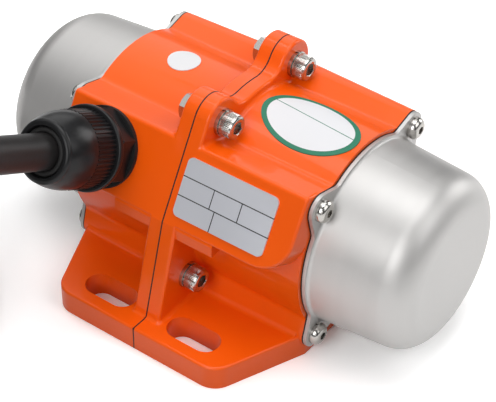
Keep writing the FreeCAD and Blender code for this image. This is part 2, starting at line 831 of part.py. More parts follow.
def ball_cage():
    ring = tube(ball_pitch + 0.6, ball_pitch - 0.6, bearing_middle - 3.8, bearing_middle + 3.8)
    pockets = []
    for i in range(ball_count):
        turn = math.radians(360 / ball_count * i)
        out = Vector(0, math.cos(turn), math.sin(turn))
        start = Vector(bearing_middle, 0, 0) + out * (ball_pitch - 3)
        pockets.append(Part.makeCylinder(ball_radius + 0.06, 6, start, out))
    return ring.cut(pockets)


save("shaft", shaft())
save("rotor_core", rotor_core())
save("rotor_cage", rotor_cage())
save("bearing_outer_races", both_sides(race(bearing_outer_radius, bearing_outer_radius - race_thickness)))
inner_race = race(bearing_inner_radius + race_thickness, bearing_inner_radius + 0.02)
save("bearing_inner_races", both_sides(inner_race))
balls = ball_row()
save("bearing_balls", group(balls + [mirrored(b) for b in balls]))
save("bearing_cages", both_sides(ball_cage()))


# Eccentric weights

def weight_blank(start):
    """Half disc below the shaft with a round hub, bored for the shaft."""
    disc = rod(weight_radius, start, start + weight_thickness)
    lower = Part.makeBox(weight_thickness, 4 * weight_radius, 2 * weight_radius,
                         Vector(start, -2 * weight_radius, -2 * weight_radius - 2))
    sector = disc.common(lower)
    along = [e for e in sector.Edges if e.BoundBox.XLength > weight_thickness - 0.1]
    corners = [e for e in along if e.BoundBox.YLength < 0.01]
    sector = sector.makeFillet(3.0, corners)
    hub = rod(weight_hub_radius, start, start + weight_thickness)
    return sector.fuse(hub).removeSplitter()


def fixed_weight():
    start = fixed_weight_start
    blank = weight_blank(start)
    bore = rod(shaft_radius + 0.02, start - 1, start + weight_thickness + 1)
    keyway = Part.makeBox(weight_thickness + 2, key_width, key_height,
                          Vector(start - 1, -key_width / 2, shaft_radius - key_height * 0.6))
    return blank.cut([bore, keyway])


def adjustable_weight():
    """Same sector with a split hub, closed on the shaft by a clamp screw."""
    start = adjustable_weight_start
    ear = Part.makeBox(weight_thickness, 2 * clamp_ear_half_width, clamp_ear_height,
                       Vector(start, -clamp_ear_half_width, 0))
    blank = weight_blank(start).fuse(ear).removeSplitter()
    bore = rod(shaft_radius + fit_clearance, start - 1, start + weight_thickness + 1)
    slit = Part.makeBox(weight_thickness + 2, clamp_slot, clamp_ear_height + 1,
                        Vector(start - 1, -clamp_slot / 2, 0))
    return blank.cut([bore, slit, clamp_hole(start)])


def clamp_hole(start):
    level = clamp_ear_height - clamp_screw_drop
    reach = 2 * clamp_ear_half_width
    return Part.makeCylinder(clamp_shank + fit_clearance, 2 * reach,
                             Vector(start + weight_thickness / 2, -reach, level), Vector(0, 1, 0))


def clamp_screw():
    level = clamp_ear_height - clamp_screw_drop
    place = Vector(adjustable_weight_start + weight_thickness / 2, -clamp_ear_half_width, level)
    face = place - Vector(0, clamp_head_height, 0)
    shank = Part.makeCylinder(clamp_shank, 2 * clamp_ear_half_width, place, Vector(0, 1, 0))
    head = Part.makeCylinder(clamp_head_radius, clamp_head_height, face, Vector(0, 1, 0))
    socket = Part.Face(polygon(face - Vector(0, 0.01, 0), Vector(0, 1, 0), Vector(0, 0, 1),
                               0.85 * clamp_head_radius))
    return head.fuse(shank).removeSplitter().cut(socket.extrude(Vector(0, 0.55 * clamp_head_height, 0)))


def key():
    return Part.makeBox(weight_thickness - 0.4, key_width - 0.04, key_height - 0.04,
                        Vector(fixed_weight_start + 0.2, -key_width / 2 + 0.02,
                               shaft_radius - key_height * 0.6 + 0.02))


def circlip():
    ring = tube(circlip_radius, shaft_radius - 0.28, circlip_start, circlip_start + circlip_thickness)
    mouth = Part.makeBox(circlip_thickness + 2, 5, 20, Vector(circlip_start - 1, -2.5, 0))
    return ring.cut(mouth)


spacer = tube(spacer_radius, shaft_radius + 0.02, bearing_start + bearing_width, fixed_weight_start)
save("weight_spacers", both_sides(spacer))
save("fixed_weight_left", mirrored(fixed_weight()))
save("fixed_weight_right", fixed_weight())
save("adjustable_weight_left", mirrored(adjustable_weight()))
save("adjustable_weight_right", adjustable_weight())
save("clamp_screw_left", mirrored(clamp_screw()))
save("clamp_screw_right", clamp_screw())
save("weight_keys", both_sides(key()))
save("shaft_circlips", both_sides(circlip()))


# Plates on the body

def rating_plate():
    """Thin plate with rounded corners on the right half of the pad."""
    x0, x1 = plate_centre - plate_length / 2, plate_centre + plate_length / 2
    half = plate_width / 2
    points = [on_pad(x0, -half, 0), on_pad(x1, -half, 0), on_pad(x1, half, 0), on_pad(x0, half, 0)]
    return rounded_prism(points, [plate_corner] * 4, pad_out * plate_thickness)


def curved_label(centre, long_radius, short_radius, turn):
    """Thin oval label that lies on the barrel."""
    outline = Part.Ellipse(Vector(0, 0, 0), long_radius, short_radius).toShape()
    column = Part.Face(Part.Wire(outline)).extrude(Vector(0, 0, barrel_radius + 10))
    column.rotate(Vector(0, 0, 0), Vector(0, 0, 1), turn)
    column.translate(Vector(centre[0], centre[1], 0))
    skin = tube(barrel_radius + label_thickness, barrel_radius, -half_body, half_body)
    return skin.common(column)


save("rating_plate", rating_plate())
save("oval_label", curved_label(right_label_centre, *right_label_radii, right_label_turn))
save("round_label", curved_label(left_label_centre, left_label_radius, left_label_radius - 0.001, 0))


# Cable gland, drawn along the pad's normal from the pad's face

def gland_point(out):
    return on_pad(-gland_from_split, 0, out)


def gland_rod(radius, start, end):
    return Part.makeCylinder(radius, end - start, gland_point(start), pad_out)


def gland_ring(outer, inner, start, end):
    return gland_rod(outer, start, end).cut(gland_rod(inner, start - 1, end + 1))


hex_top = gland_washer + gland_hex_height
nut_start = hex_top + 0.4
nut_end = nut_start + nut_height


def gland_body():
    """Threaded stub, hexagon and the threaded neck that the nut closes."""
    wire = polygon(gland_point(gland_washer), pad_out, pad_down, gland_flats)
    hexagon = Part.Face(wire).extrude(pad_out * gland_hex_height)
    corner = gland_flats / math.sqrt(3) - 0.6
    trim = Part.makeCone(corner + gland_hex_height, corner, gland_hex_height, gland_point(gland_washer), pad_out)
    hexagon = hexagon.common(trim)
    stub = gland_rod(gland_thread_radius, -gland_thread_length, gland_washer)
    neck = gland_rod(gland_thread_radius + 0.6, hex_top, hex_top + 11)
    body = hexagon.fuse([stub, neck]).removeSplitter()
    return body.cut([gland_rod(gland_bore, -gland_thread_length - 1, hex_top + 20),
                     gland_rod(gland_thread_radius - 1.1, hex_top + 1, hex_top + 12)])


def gland_seal():
    return gland_ring(gland_thread_radius - 1.2, cable_radius + 0.05, hex_top + 1.2, hex_top + 14)


def gland_nut():
    """Domed nut with a thin collar, a ribbed grip and a wide mouth."""
    def at(radius, out):
        return gland_point(out) + along_x * radius
    rib_end = nut_start + nut_rib_height
    crown = nut_end - 1.4
    edges = [Part.makeLine(at(0, rib_end), at(nut_radius - 0.2, rib_end)),
             Part.Arc(at(nut_radius - 0.2, rib_end), at(nut_radius - 0.7, (rib_end + nut_end) / 2),
                      at(nut_mouth_radius + 0.9, crown)).toShape(),
             Part.Arc(at(nut_mouth_radius + 0.9, crown), at(nut_mouth_radius + 0.4, nut_end - 0.35),
                      at(nut_mouth_radius - 0.5, nut_end)).toShape(),
             Part.makeLine(at(nut_mouth_radius - 0.5, nut_end), at(0, nut_end)),
             Part.makeLine(at(0, nut_end), at(0, rib_end))]
    dome = Part.Face(Part.Wire(edges)).revolve(gland_point(0), pad_out, 360)
    collar = gland_rod(nut_collar_radius, nut_start, nut_start + nut_collar_height)
    edge_rings = [e for e in collar.Edges if len(e.Vertexes) == 1]
    collar = collar.makeFillet(0.6, edge_rings)
    teeth = []
    side = pad_out.cross(along_x)
    for i in range(4 * nut_ribs + 1):
        turn = 2 * math.pi * (i // 2) / (2 * nut_ribs)
        low = (i // 2) % 2 == 1
        radius = nut_radius - (nut_rib_depth if low else 0)
        nudge = 0.25 * math.pi / nut_ribs * (1 if i % 2 else -1)
        teeth.append(gland_point(nut_start) + along_x * (radius * math.cos(turn + nudge))
                     + side * (radius * math.sin(turn + nudge)))
    teeth[-1] = teeth[0]
    grip = Part.Face(Part.makePolygon(teeth)).extrude(pad_out * nut_rib_height)
    nut = grip.fuse([collar, dome]).removeSplitter()
    hollow = gland_rod(gland_thread_radius + 0.7, nut_start - 1, nut_start + 15.5)
    throat = gland_rod(cable_radius + 0.5, nut_start, nut_end + 1)
    mouth = Part.makeCone(cable_radius + 0.9, nut_mouth_radius - 1.2, 3.4, gland_point(nut_end - 3.3), pad_out)
    return nut.cut([hollow, throat, mouth])


save("gland_washer", gland_ring(gland_washer_radius, gland_thread_radius + 0.1, 0, gland_washer))
save("gland_body", gland_body())
save("gland_seal", gland_seal())
save("gland_nut", gland_nut())


# Leads inside the body, from the end of the cable to the windings

def inner_lead(offset):
    """One insulated lead: down the gland's bore, then sideways to the end turns."""
    turn_point = gland_point(winding_level - pad_distance) + pad_down * offset
    reach = gland_from_split - stack_half_length - winding_reach
    down = Part.makeCylinder(lead_radius, hex_top + 2 + pad_distance - winding_level, turn_point, pad_out)
    across = Part.makeCylinder(lead_radius, reach, turn_point, along_x)
    return down.fuse([across, Part.makeSphere(lead_radius, turn_point)]).removeSplitter()


winding_level = stator_inner_radius + 6.5
lead_radius = 1.1
save("lead_wires", group([inner_lead(offset) for offset in (-2.6, 0, 2.6)]))


# Cable: straight runs joined by tangent arcs, then a tied coil of two turns on the floor

gland_exit = gland_point(hex_top + 2) + Vector(0, 0, axis_height)
top_turn_level = 3 * cable_radius
coil_centre = Vector(-103.3, -115.1, 0)
cable_route = [
    gland_exit,
    gland_exit + pad_out * 80,
    Vector(-36, -180, 66),
    Vector(-84, -190, cable_radius),
    Vector(-150, -159.5, cable_radius),
]


def runs_and_arcs(points, radius):
    """Tube along the points, each corner rounded as far as its shorter run allows."""
    corners = []
    for before, corner, after in zip(points, points[1:], points[2:]):
        back = before - corner
        ahead = after - corner
        reach = 0.45 * min(back.Length, ahead.Length)
        half_turn = (math.pi - back.getAngle(ahead)) / 2
        bend = reach / math.tan(half_turn)
        print("cable bend", round(bend, 1), "turn", round(math.degrees(2 * half_turn), 1))
        back.normalize()
        ahead.normalize()
        inward = (back + ahead).normalize()
        middle = corner + inward * (bend / math.cos(half_turn) - bend)
        corners.append((corner + back * reach, middle, corner + ahead * reach))
    edges = []
    place = points[0]
    for first, middle, last in corners:
        edges.append(Part.makeLine(place, first))
        edges.append(Part.Arc(first, middle, last).toShape())
        place = last
    edges.append(Part.makeLine(place, points[-1]))
    spine = Part.Wire(edges)
    section = Part.Wire(Part.makeCircle(radius, points[0], points[1] - points[0]))
    swept = spine.makePipeShell([section], True, True, 2)
    straight = math.pi * radius ** 2 * spine.Length
    print("cable length", round(spine.Length, 1), "volume ratio", round(swept.Volume / straight, 4))
    return swept


def coil_section(top, angle):
    """Section of the turns that lie on each other, turned to its place about the coil's middle."""
    low, high = cable_radius, top - cable_radius
    inner, outer = coil_radius - cable_radius, coil_radius + cable_radius
    edges = [Part.Arc(Vector(inner, 0, low), Vector(coil_radius, 0, 0), Vector(outer, 0, low)).toShape()]
    if high > low:
        edges.append(Part.makeLine(Vector(outer, 0, low), Vector(outer, 0, high)))
    edges.append(Part.Arc(Vector(outer, 0, high), Vector(coil_radius, 0, top), Vector(inner, 0, high)).toShape())
    if high > low:
        edges.append(Part.makeLine(Vector(inner, 0, high), Vector(inner, 0, low)))
    face = Part.Face(Part.Wire(edges))
    face.rotate(Vector(0, 0, 0), Vector(0, 0, 1), angle)
    return face


def cable_coil(tie):
    """Outer shape of the two turns, with one turn only where the stripped cores lie."""
    gap = coil_gap_end - coil_gap_start
    up = Vector(0, 0, 1)
    double = coil_section(4 * cable_radius, coil_gap_end).revolve(Vector(0, 0, 0), up, 360 - gap)
    single = coil_section(2 * cable_radius, coil_gap_start).revolve(Vector(0, 0, 0), up, gap)
    ring = double.fuse(single).removeSplitter()
    ring.translate(coil_centre)
    return ring.cut(tie)


def cable_tie():
    """Strap round both turns, with its lock on the outside."""
    half = cable_radius + tie_thickness
    strap = Part.makeBox(2 * half, tie_width, 4 * cable_radius + tie_thickness,
                         Vector(coil_radius - half, -tie_width / 2, 0))
    corners = [e for e in strap.Edges if e.BoundBox.YLength > tie_width - 0.1]
    strap = strap.makeFillet(3.0, corners)
    inside = Part.makeBox(2 * cable_radius, tie_width + 2, 4 * cable_radius - tie_thickness,
                          Vector(coil_radius - cable_radius, -tie_width / 2 - 1, tie_thickness))
    corners = [e for e in inside.Edges if e.BoundBox.YLength > tie_width + 1]
    inside = inside.makeFillet(2.0, corners)
    lock = Part.makeBox(3.5, 5.0, 5.5, Vector(coil_radius + half - 0.6, -2.5, 2 * cable_radius))
    tie = strap.cut(inside).fuse(lock).removeSplitter()
    tie.rotate(Vector(0, 0, 0), Vector(0, 0, 1), tie_angle)
    tie.translate(coil_centre)
    return tie


def free_end(start, end, radius):
    """Three straight cores side by side, from start to end beyond the cable's free end."""
    turn = math.radians(coil_gap_end)
    heading = Vector(math.sin(turn), -math.cos(turn), 0)
    outward = Vector(math.cos(turn), math.sin(turn), 0)
    face = coil_centre + outward * coil_radius + Vector(0, 0, top_turn_level)
    cores = []
    for i in range(3):
        angle = math.radians(90 + 120 * i)
        place = face + outward * (2.6 * math.cos(angle)) + Vector(0, 0, 2.6 * math.sin(angle)) + heading * start
        cores.append(Part.makeCylinder(radius, end - start, place, heading))
    return group(cores)


tie = cable_tie()
write("cable", runs_and_arcs(cable_route, cable_radius))
write("cable_coil", cable_coil(tie))
write("cable_tie", tie)
write("cable_cores", free_end(0, core_length - ferrule_length, core_radius))
write("core_ferrules", free_end(core_length - ferrule_length, core_length, core_radius * 0.85))
print(len(saved), "nodes")
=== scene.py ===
# %% [markdown]
# Vibration motor with a split cast body, drawn end caps and a cable on a gland.
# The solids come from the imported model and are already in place, so this lesson is about three
# things: a camera that repeats a photograph, finishes that read as paint, steel and rubber, and
# the few shapes that solids leave plain: the lead, its cores, the seal's lip and knurled screws.

import math

import bpy
from mathutils import Matrix, Vector


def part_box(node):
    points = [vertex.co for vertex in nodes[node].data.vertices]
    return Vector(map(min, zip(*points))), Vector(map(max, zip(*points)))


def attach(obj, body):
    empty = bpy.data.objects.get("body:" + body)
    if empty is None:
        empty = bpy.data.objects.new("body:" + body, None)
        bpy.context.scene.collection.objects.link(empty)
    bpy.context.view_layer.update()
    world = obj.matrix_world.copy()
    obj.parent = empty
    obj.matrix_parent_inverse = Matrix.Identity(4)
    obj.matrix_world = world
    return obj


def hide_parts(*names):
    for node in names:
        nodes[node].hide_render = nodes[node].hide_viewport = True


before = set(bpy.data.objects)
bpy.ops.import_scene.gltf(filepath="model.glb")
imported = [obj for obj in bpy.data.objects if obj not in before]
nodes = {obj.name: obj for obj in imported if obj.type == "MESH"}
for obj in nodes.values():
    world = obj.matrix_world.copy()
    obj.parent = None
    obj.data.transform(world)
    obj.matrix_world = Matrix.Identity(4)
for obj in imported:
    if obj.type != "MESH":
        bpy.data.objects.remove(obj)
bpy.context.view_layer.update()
MM = 0.001
shaft_height = 35 * MM

# %% [markdown]
# The camera is set first, because everything else is judged through it. A photograph fixes its
# camera once enough corners of a known shape are matched: direction, roll, distance and focal
# length. The small shift stands for the crop, which isn't centred on the lens.

# %% Camera
camera_azimuth = math.radians(35.44)
camera_elevation = math.radians(40.48)
camera_roll = math.radians(1.215)
camera_place = Vector((0.26099, -0.35838, 0.39632))
sensor_width = 36.0
focal_widths = 3.4012
crop_shift = (-0.0216, 0.0213)

forward = Vector((-math.sin(camera_azimuth) * math.cos(camera_elevation),
                  math.cos(camera_azimuth) * math.cos(camera_elevation),
                  -math.sin(camera_elevation)))
level = forward.cross(Vector((0, 0, 1))).normalized()
upright = level.cross(forward)
sideways = level * math.cos(camera_roll) + upright * math.sin(camera_roll)
upwards = upright * math.cos(camera_roll) - level * math.sin(camera_roll)
turned = Matrix((sideways, upwards, -forward)).transposed().to_4x4()

lens = bpy.data.cameras.new("photo_camera")
lens.sensor_width = sensor_width
lens.lens = sensor_width * focal_widths
lens.shift_x, lens.shift_y = crop_shift
lens.clip_start = 0.01
camera = bpy.data.objects.new("photo_camera", lens)
camera.matrix_world = Matrix.Translation(camera_place) @ turned
bpy.context.scene.collection.objects.link(camera)
bpy.context.scene.camera = camera
print("camera:", round(lens.lens, 1), "mm lens,", round(camera_place.length, 3), "m from the foot")

# %% [markdown]
# The lead is a real length of rubber cable: it leaves the gland straight, bends down under its own
# weight and is stored as a tied coil of nearly two turns, out of the picture. A curve with a round
# bevel is the natural tool. A quadratic NURBS spline stays inside its control polygon, so control
# points a little outside the wanted circle give round turns.

# %% The lead as one curve
cable_radius = 6 * MM
coil_radius = 60 * MM
coil_centre = Vector((-103.3, -115.1, 0)) * MM
gland_face = Vector((-29.5, -37.87, 55.99)) * MM
gland_axis = Vector((0, -0.8746, 0.4848))
lead_start = gland_face + gland_axis * 10 * MM
entry_angle = -114.8
points_per_turn = 16
turned_total = 617
climb_from, climb_to = 285, 335
lowest_layer = 1.01 * cable_radius
layer_step = 2.02 * cable_radius
wander_share, wander_rate = 0.006, 1.7


def climb(turned_by):
    """Height of the cable's middle after it has gone so many degrees round the coil."""
    share = min(max((turned_by - climb_from) / (climb_to - climb_from), 0), 1)
    smooth = share * share * (3 - 2 * share)
    return lowest_layer + layer_step * smooth


def lead_points():
    """Control points: the free lead, then the corners of a polygon round each turn.

    The last corner lies 20.75 degrees before turned_total, so the sheath stops 22 mm short of the
    end that the solid cable has, and the stripped cores don't reach it.
    """
    free = [lead_start, lead_start + gland_axis * 20 * MM, lead_start + gland_axis * 78 * MM,
            Vector((-36, -180, 66)) * MM, Vector((-84, -190, 6.06)) * MM]
    step = 360 / points_per_turn
    reach = coil_radius / math.cos(math.radians(step / 2))
    turns = []
    turned_by = step / 2
    while turned_by < turned_total:
        angle = math.radians(entry_angle - turned_by)
        wander = 1 + wander_share * math.sin(math.radians(turned_by) * wander_rate)
        place = coil_centre + Vector((math.cos(angle), math.sin(angle), 0)) * reach * wander
        turns.append(Vector((place.x, place.y, climb(turned_by))))
        turned_by += step
    return free + turns


def curve_piece(name, points, radius, resolution=6):
    """Open quadratic NURBS curve of a control polygon, whose points carry the section's radius."""
    data = bpy.data.curves.new(name, "CURVE")
    data.dimensions = "3D"
    spline = data.splines.new("NURBS")
    spline.points.add(len(points) - 1)
    for slot, point in zip(spline.points, points):
        slot.co = (*point, 1)
        slot.radius = radius
    spline.order_u = 3
    spline.use_endpoint_u = True
    spline.resolution_u = resolution
    data.bevel_depth = 1.0
    data.bevel_resolution = 8
    data.use_fill_caps = True
    piece = bpy.data.objects.new(name, data)
    bpy.context.scene.collection.objects.link(piece)
    return piece


lead_route = lead_points()
lead = curve_piece("lead", lead_route, cable_radius, 10)
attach(lead, "motor")
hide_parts("cable", "cable_coil")
print("lead:", len(lead_route), "control points")

# %% [markdown]
# The free end is stripped, as such a motor is delivered: three coloured cores with crimped
# ferrules. The cores are short curves that fan out a little, and the ferrules stay as solids.

# %% Stripped cores
core_radius = 1.3 * MM
core_length = 16 * MM
core_spread = 2.6 * MM
core_inside = 3 * MM
core_sway = 0.4 * MM
coil_top = 18 * MM
end_angle = math.radians(-11.8)
end_heading = Vector((math.sin(end_angle), -math.cos(end_angle), 0))
end_outward = Vector((math.cos(end_angle), math.sin(end_angle), 0))
end_face = coil_centre + end_outward * coil_radius + Vector((0, 0, coil_top))


def core_points(index):
    """Control points of one core, from inside the sheath into its ferrule."""
    around = math.radians(90 + 120 * index)
    offset = end_outward * math.cos(around) + Vector((0, 0, math.sin(around)))
    base = end_face + offset * core_spread
    sway = end_outward * core_sway * (index - 1)
    return [base - end_heading * core_inside, base + end_heading * 0.35 * core_length + sway,
            base + end_heading * 0.7 * core_length - sway, base + end_heading * core_length]


cores = [curve_piece(name, core_points(i), core_radius)
         for i, name in enumerate(("core_earth", "core_neutral", "core_phase"))]
for core in cores:
    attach(core, "motor")
    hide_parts("cable_cores")
print("cores:", len(cores))

# %% [markdown]
# The studio is a white floor and soft light. Metal shows its surroundings more than its own colour,
# so large lamps of different strength stand all round: the drawn caps then get the soft bands that
# satin steel shows. The world adds a faint light, a little brighter overhead, while the camera
# itself sees plain white.

# %% Floor, world and lamps
floor_size = 3.0
floor_drop = 0.1 * MM
fade_from, fade_to = 0.08, 0.35
lamp_distance = 1.25
motor_middle = Vector((0, 0, 40 * MM))
floor_mesh = bpy.data.meshes.new("studio_floor")
floor_mesh.from_pydata([(-floor_size, -floor_size, 0), (floor_size, -floor_size, 0),
                        (floor_size, floor_size, 0), (-floor_size, floor_size, 0)],
                       [], [(0, 1, 2, 3)])
floor = bpy.data.objects.new("studio_floor", floor_mesh)
floor.location.z = -floor_drop
bpy.context.scene.collection.objects.link(floor)


def floor_material():
    """Matt floor: brightest for the camera, plain white in reflections, dim for bounced light."""
    material = bpy.data.materials.new("white_floor")
    material.use_nodes = True
    tree = material.node_tree
    tree.nodes.clear()
    out = tree.nodes.new("ShaderNodeOutputMaterial")
    matt = tree.nodes.new("ShaderNodeBsdfDiffuse")
    path = tree.nodes.new("ShaderNodeLightPath")
    level = None
    for ray, step in (("Is Diffuse Ray", -0.65), ("Is Camera Ray", 0.22)):
        node = tree.nodes.new("ShaderNodeMath")
        node.operation = "MULTIPLY_ADD"
        tree.links.new(path.outputs[ray], node.inputs[0])
        node.inputs[1].default_value = step
        if level is None:
            node.inputs[2].default_value = 1.0
        else:
            tree.links.new(level, node.inputs[2])
        level = node.outputs[0]
    tree.links.new(level, matt.inputs["Color"])
    # The floor fades to white away from the motor, as a lit studio sweep does.
    where = tree.nodes.new("ShaderNodeTexCoord")
    reach = tree.nodes.new("ShaderNodeVectorMath")
    reach.operation = "LENGTH"
    fade = tree.nodes.new("ShaderNodeMapRange")
    fade.inputs["From Min"].default_value = fade_from
    fade.inputs["From Max"].default_value = fade_to
    seen = tree.nodes.new("ShaderNodeMath")
    seen.operation = "MULTIPLY"
    glow = tree.nodes.new("ShaderNodeEmission")
    both = tree.nodes.new("ShaderNodeAddShader")
    tree.links.new(where.outputs["Object"], reach.inputs[0])
    tree.links.new(reach.outputs["Value"], fade.inputs["Value"])
    tree.links.new(fade.outputs["Result"], seen.inputs[0])
    tree.links.new(path.outputs["Is Camera Ray"], seen.inputs[1])
    tree.links.new(seen.outputs[0], glow.inputs["Strength"])
    tree.links.new(matt.outputs[0], both.inputs[0])
    tree.links.new(glow.outputs[0], both.inputs[1])
    tree.links.new(both.outputs[0], out.inputs["Surface"])
    return material


floor_mesh.materials.append(floor_material())


def studio_world():
    """White for the camera, graded by height for reflections and for soft light."""
    world = bpy.data.worlds.new("studio")
    world.use_nodes = True
    tree = world.node_tree
    tree.nodes.clear()
    out = tree.nodes.new("ShaderNodeOutputWorld")
    mix = tree.nodes.new("ShaderNodeMixShader")
    path = tree.nodes.new("ShaderNodeLightPath")
    white = tree.nodes.new("ShaderNodeBackground")
    white.inputs["Color"].default_value = (1, 1, 1, 1)
    graded = tree.nodes.new("ShaderNodeBackground")
    where = tree.nodes.new("ShaderNodeTexCoord")
    split = tree.nodes.new("ShaderNodeSeparateXYZ")
    ramp = tree.nodes.new("ShaderNodeValToRGB")
    stops = ramp.color_ramp.elements
    stops[0].position, stops[0].color = 0.0, (0.05, 0.05, 0.05, 1)
    stops[1].position, stops[1].color = 0.7, (0.15, 0.15, 0.15, 1)
    tree.links.new(where.outputs["Generated"], split.inputs[0])
    tree.links.new(split.outputs["Z"], ramp.inputs[0])
    tree.links.new(ramp.outputs["Color"], graded.inputs["Color"])
    tree.links.new(path.outputs["Is Camera Ray"], mix.inputs["Fac"])
    tree.links.new(graded.outputs[0], mix.inputs[1])
    tree.links.new(white.outputs[0], mix.inputs[2])
    tree.links.new(mix.outputs[0], out.inputs["Surface"])
    return world


def soft_lamp(name, azimuth, elevation, size, power):
    """Square area lamp at a set distance from the motor, turned to its middle."""
    data = bpy.data.lights.new(name, "AREA")
    data.shape = "SQUARE"
    data.size = size
    data.energy = power
    lamp = bpy.data.objects.new(name, data)
    turn, rise = math.radians(azimuth), math.radians(elevation)
    lamp.location = lamp_distance * Vector((math.cos(rise) * math.cos(turn),
                                            math.cos(rise) * math.sin(turn), math.sin(rise)))
    aim = motor_middle - lamp.location
    lamp.rotation_euler = aim.to_track_quat("-Z", "Y").to_euler()
    bpy.context.scene.collection.objects.link(lamp)


bpy.context.scene.world = studio_world()
for name, azimuth, elevation, size, power in (
        ("top_softbox", 126, 85, 0.9, 8.0),
        ("right_softbox", 6, 42, 0.85, 4.6),
        ("front_softbox", -60, 25, 0.6, 1.4),
        ("front_left_softbox", -86, 36, 0.7, 6.2),
        ("left_softbox", -174, 48, 0.85, 1.8),
        ("back_softbox", 132, 36, 0.9, 3.4),
        ("back_right_softbox", 66, 22, 0.6, 4.0)):
    soft_lamp(name, azimuth, elevation, size, power)
bpy.context.scene.view_settings.view_transform = "Standard"
print("studio: floor, world and seven lamps")

# %% [markdown]
# Some effects turn up in several finishes, so each is built once as a shader group with named
# sockets. Grain is a bumpy noise for paint, nylon and rubber. Turning marks are fine rings about
# the shaft, for sheet drawn over a die and for turned steel: noise stretched so that it changes
# quickly along the shaft and slowly round it.

# %% Shader groups
def shader_group(name, inputs, outputs):
    """Empty shader group with named float or vector inputs and outputs."""
    group = bpy.data.node_groups.new(name, "ShaderNodeTree")
    for label, kind, value in inputs:
        socket = group.interface.new_socket(label, in_out="INPUT", socket_type=kind)
        if value is not None:
            socket.default_value = value
    for label, kind in outputs:
        group.interface.new_socket(label, in_out="OUTPUT", socket_type=kind)
    start = group.nodes.new("NodeGroupInput")
    end = group.nodes.new("NodeGroupOutput")
    return group, start, end


def surface_grain():
    """Fine bumps and broad patches, two noises of one finish."""
    group, start, end = shader_group(
        "surface_grain",
        [("Vector", "NodeSocketVector", None), ("Grains per metre", "NodeSocketFloat", 600.0),
         ("Patches per metre", "NodeSocketFloat", 25.0)],
        [("Height", "NodeSocketFloat"), ("Patch", "NodeSocketFloat")])
    fine = group.nodes.new("ShaderNodeTexNoise")
    fine.inputs["Detail"].default_value = 2.0
    broad = group.nodes.new("ShaderNodeTexNoise")
    broad.inputs["Detail"].default_value = 3.0
    group.links.new(start.outputs["Vector"], fine.inputs["Vector"])
    group.links.new(start.outputs["Vector"], broad.inputs["Vector"])
    group.links.new(start.outputs["Grains per metre"], fine.inputs["Scale"])
    group.links.new(start.outputs["Patches per metre"], broad.inputs["Scale"])
    group.links.new(fine.outputs["Fac"], end.inputs["Height"])
    group.links.new(broad.outputs["Fac"], end.inputs["Patch"])
    return group


def turning_marks():
    """Rings about the shaft, from a point's place along the shaft and its distance from it."""
    group, start, end = shader_group(
        "turning_marks",
        [("Vector", "NodeSocketVector", None), ("Rings per metre", "NodeSocketFloat", 2500.0),
         ("Waver", "NodeSocketFloat", 12.0)],
        [("Height", "NodeSocketFloat"), ("Streak", "NodeSocketFloat")])
    centre = group.nodes.new("ShaderNodeVectorMath")
    centre.operation = "SUBTRACT"
    centre.inputs[1].default_value = (0, 0, shaft_height)
    split = group.nodes.new("ShaderNodeSeparateXYZ")
    flat = group.nodes.new("ShaderNodeCombineXYZ")
    away = group.nodes.new("ShaderNodeVectorMath")
    away.operation = "LENGTH"
    rings = group.nodes.new("ShaderNodeCombineXYZ")
    scale_x = group.nodes.new("ShaderNodeMath")
    scale_x.operation = "MULTIPLY"
    scale_r = group.nodes.new("ShaderNodeMath")
    scale_r.operation = "MULTIPLY"
    waver = group.nodes.new("ShaderNodeVectorMath")
    waver.operation = "SCALE"
    total = group.nodes.new("ShaderNodeVectorMath")
    total.operation = "ADD"
    noise = group.nodes.new("ShaderNodeTexNoise")
    noise.inputs["Scale"].default_value = 1.0
    noise.inputs["Detail"].default_value = 3.0
    broad = group.nodes.new("ShaderNodeTexNoise")
    broad.inputs["Scale"].default_value = 0.06
    links = group.links
    links.new(start.outputs["Vector"], centre.inputs[0])
    links.new(centre.outputs[0], split.inputs[0])
    links.new(split.outputs["Y"], flat.inputs["Y"])
    links.new(split.outputs["Z"], flat.inputs["Z"])
    links.new(flat.outputs[0], away.inputs[0])
    links.new(split.outputs["X"], scale_x.inputs[0])
    links.new(start.outputs["Rings per metre"], scale_x.inputs[1])
    links.new(away.outputs["Value"], scale_r.inputs[0])
    links.new(start.outputs["Rings per metre"], scale_r.inputs[1])
    links.new(scale_x.outputs[0], rings.inputs["X"])
    links.new(scale_r.outputs[0], rings.inputs["Y"])
    links.new(flat.outputs[0], waver.inputs[0])
    links.new(start.outputs["Waver"], waver.inputs["Scale"])
    links.new(rings.outputs[0], total.inputs[0])
    links.new(waver.outputs[0], total.inputs[1])
    links.new(total.outputs[0], noise.inputs["Vector"])
    links.new(total.outputs[0], broad.inputs["Vector"])
    links.new(noise.outputs["Fac"], end.inputs["Height"])
    links.new(broad.outputs["Fac"], end.inputs["Streak"])
    return group


grain_group = surface_grain()
marks_group = turning_marks()
print("shader groups:", grain_group.name, marks_group.name)

# %% [markdown]
# Each finish is one function. They share a small helper that makes the material, adds the group
# that suits it and leads its height into a bump, so that only the real differences are spelled out.

# %% Material helpers
def new_finish(name, metallic, roughness):
    """New material, its tree, its shader and the node that gives Object coordinates."""
    material = bpy.data.materials.new(name)
    material.use_nodes = True
    tree = material.node_tree
    shader = tree.nodes["Principled BSDF"]
    shader.inputs["Metallic"].default_value = metallic
    shader.inputs["Roughness"].default_value = roughness
    place = tree.nodes.new("ShaderNodeTexCoord")
    return material, tree, shader, place


def add_group(tree, group, place, values):
    """A shader group on Object coordinates, with its own values."""
    node = tree.nodes.new("ShaderNodeGroup")
    node.node_tree = group
    tree.links.new(place.outputs["Object"], node.inputs["Vector"])
    for label, value in values.items():
        node.inputs[label].default_value = value
    return node


